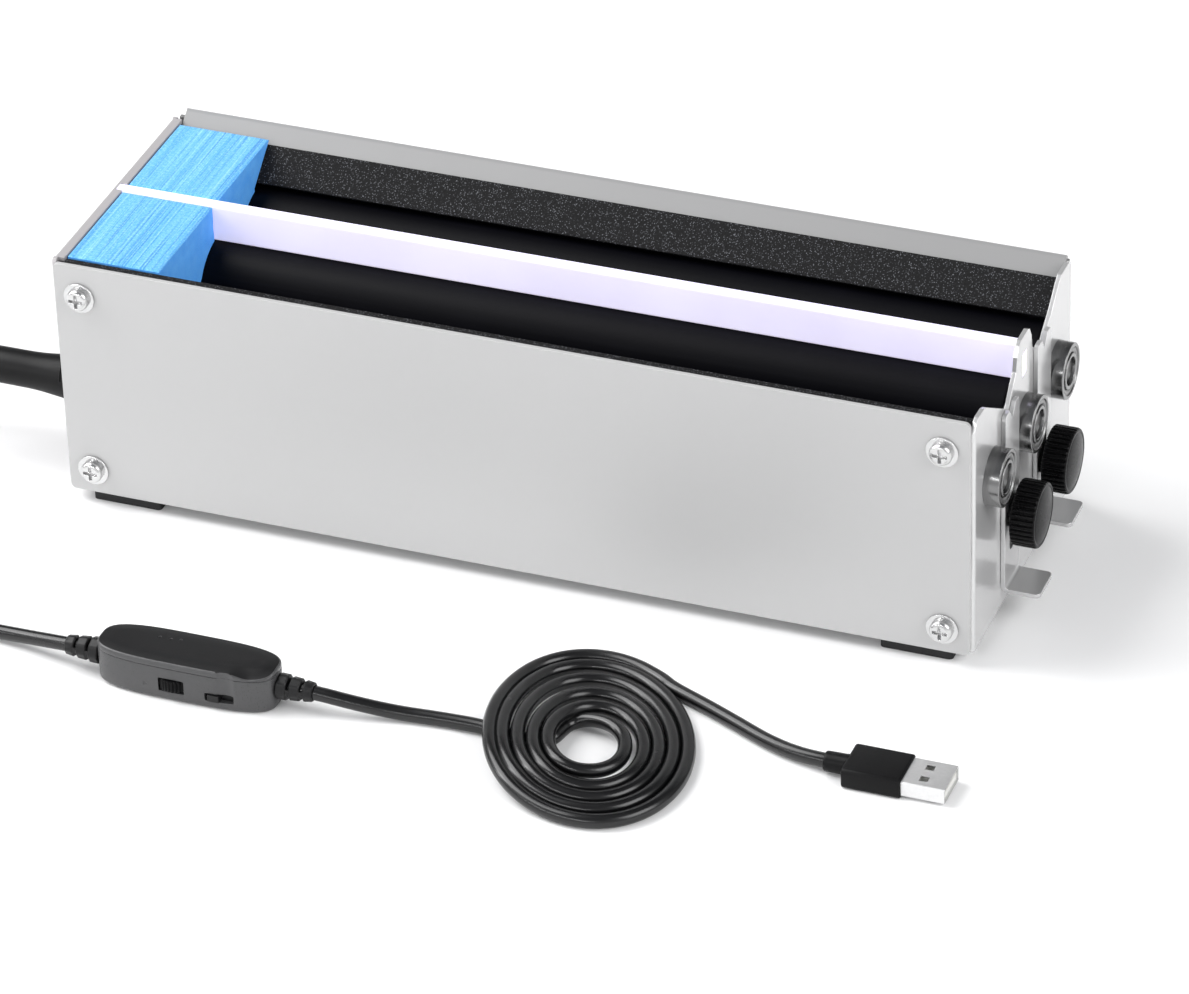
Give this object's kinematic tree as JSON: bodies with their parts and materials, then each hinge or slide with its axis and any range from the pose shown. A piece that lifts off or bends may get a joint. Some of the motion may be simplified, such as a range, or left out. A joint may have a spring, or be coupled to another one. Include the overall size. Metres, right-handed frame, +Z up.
{
  "type": "bead spinner",
  "caption": "Electric bead spinner: sheet-metal trough with driven rollers, two bead channels, foam stops, needle gates with clamp knobs, and a lead with a speed controller and USB plug.",
  "frame": {"origin": "on the resting surface, under the middle of the machine's overall length and depth, the lead and what is on it left out", "axes": "+X along the rollers from the drive end towards the needle gates, +Y from the front panel to the back panel, +Z up"},
  "size_m": [0.3717, 0.1922, 0.0792],
  "materials": {
    "case_sheet": "satin light grey powder coat",
    "gate_sheet": "satin steel",
    "bearing_steel": "ground steel",
    "screw_steel": "nickel plated",
    "shaft_steel": "turned steel",
    "roller_black": "smooth glossy black",
    "pulley_plastic": "natural nylon",
    "belt_rubber": "matte black",
    "opal_acrylic": "opal, lit from within",
    "blue_foam": "cut closed-cell foam",
    "black_foam": "black foam with fine glitter",
    "foot_rubber": "matte black foam rubber",
    "black_plastic": "black moulded plastic",
    "knob_plastic": "black knurled plastic",
    "cord_black": "black PVC",
    "motor_steel": "zinc plated can",
    "contact_metal": "nickel plated",
    "board_green": "circuit board",
    "white_plastic": "white insulator",
    "wire_red": "twin wire"
  },
  "bodies": {
    "case": {"back_panel": "case_sheet", "base_pan": "case_sheet", "bearing_outer_rings": "bearing_steel", "controller_board": "board_green", "controller_housing_bottom": "black_plastic", "controller_housing_top": "black_plastic", "controller_reliefs": "cord_black", "dc_jack_body": "black_plastic", "dc_jack_nut": "screw_steel", "dc_lead": "cord_black", "dc_plug_barrel": "contact_metal", "dc_plug_body": "black_plastic", "divider": "opal_acrylic", "feet": "foot_rubber", "foot_screws": "screw_steel", "front_foam_strip": "black_foam", "front_panel": "case_sheet", "left_end_plate": "case_sheet", "motor_belt": "belt_rubber", "motor_bracket": "gate_sheet", "motor_can": "motor_steel", "motor_end_cap": "white_plastic", "motor_leads": "wire_red", "motor_screws": "screw_steel", "panel_screws": "screw_steel", "panel_washers": "screw_steel", "press_nuts": "screw_steel", "rear_foam_strip": "black_foam", "right_end_plate": "case_sheet", "roller_belts": "belt_rubber", "usb_lead_a": "cord_black", "usb_lead_b": "cord_black", "usb_lead_coil": "cord_black", "usb_plug_body": "black_plastic", "usb_plug_shell": "contact_metal", "usb_plug_tongue": "white_plastic"},
    "front_roller": {"front_roller_shaft": "shaft_steel", "front_roller_sleeve": "roller_black", "front_roller_pulley": "pulley_plastic", "front_bearing_inner_rings": "bearing_steel"},
    "middle_roller": {"middle_roller_shaft": "shaft_steel", "middle_roller_sleeve": "roller_black", "middle_roller_pulley": "pulley_plastic", "middle_bearing_inner_rings": "bearing_steel"},
    "rear_roller": {"rear_roller_shaft": "shaft_steel", "rear_roller_sleeve": "roller_black", "rear_roller_pulley": "pulley_plastic", "rear_bearing_inner_rings": "bearing_steel"},
    "motor_rotor": {"motor_rotor": "shaft_steel", "motor_pulley": "pulley_plastic"},
    "front_gate": {"front_needle_gate": "gate_sheet"},
    "front_knob": {"front_knob": "knob_plastic", "front_knob_stud": "shaft_steel"},
    "front_stop": {"front_foam_stop": "blue_foam"},
    "rear_gate": {"rear_needle_gate": "gate_sheet"},
    "rear_knob": {"rear_knob": "knob_plastic", "rear_knob_stud": "shaft_steel"},
    "rear_stop": {"rear_foam_stop": "blue_foam"},
    "speed_dial": {"controller_dial": "black_plastic"},
    "power_slider": {"controller_switch": "black_plastic"}
  },
  "joints": [
    {"name": "front_roller_spin", "type": "hinge", "parent": "case", "child": "front_roller", "pos_m": [-0.0046, -0.028, 0.052], "axis": [1, 0, 0], "continuous": true},
    {"name": "middle_roller_spin", "type": "hinge", "parent": "case", "child": "middle_roller", "pos_m": [-0.0046, 0, 0.052], "axis": [1, 0, 0], "continuous": true},
    {"name": "rear_roller_spin", "type": "hinge", "parent": "case", "child": "rear_roller", "pos_m": [-0.0046, 0.028, 0.052], "axis": [1, 0, 0], "continuous": true},
    {"name": "motor_spin", "type": "hinge", "parent": "case", "child": "motor_rotor", "pos_m": [-0.1046, 0, 0.022], "axis": [1, 0, 0], "continuous": true},
    {"name": "front_gate_slide", "type": "slide", "parent": "case", "child": "front_gate", "axis": [0, 0, 1], "range_m": [0, 0.01]},
    {"name": "rear_gate_slide", "type": "slide", "parent": "case", "child": "rear_gate", "axis": [0, 0, 1], "range_m": [-0.0053, 0.0047]},
    {"name": "front_knob_turn", "type": "hinge", "parent": "case", "child": "front_knob", "pos_m": [0.1344, -0.014, 0.0327], "axis": [1, 0, 0], "range_deg": [0, 360]},
    {"name": "rear_knob_turn", "type": "hinge", "parent": "case", "child": "rear_knob", "pos_m": [0.1344, 0.014, 0.0327], "axis": [1, 0, 0], "range_deg": [0, 360]},
    {"name": "front_stop_slide", "type": "slide", "parent": "case", "child": "front_stop", "axis": [1, 0, 0], "range_m": [0, 0.2]},
    {"name": "rear_stop_slide", "type": "slide", "parent": "case", "child": "rear_stop", "axis": [1, 0, 0], "range_m": [0, 0.2]},
    {"name": "speed_dial_turn", "type": "hinge", "parent": "case", "child": "speed_dial", "pos_m": [-0.0694, -0.1211, 0.0051], "axis": [0, 0, 1], "range_deg": [0, 270]},
    {"name": "power_slider_travel", "type": "slide", "parent": "case", "child": "power_slider", "axis": [1, 0, 0], "range_m": [0, 0.0036]}
  ],
  "couplings": [
    {"joint": "front_roller_spin", "follows": "middle_roller_spin", "ratio": 1},
    {"joint": "rear_roller_spin", "follows": "middle_roller_spin", "ratio": 1},
    {"joint": "motor_spin", "follows": "middle_roller_spin", "ratio": 2.6867}
  ]
}
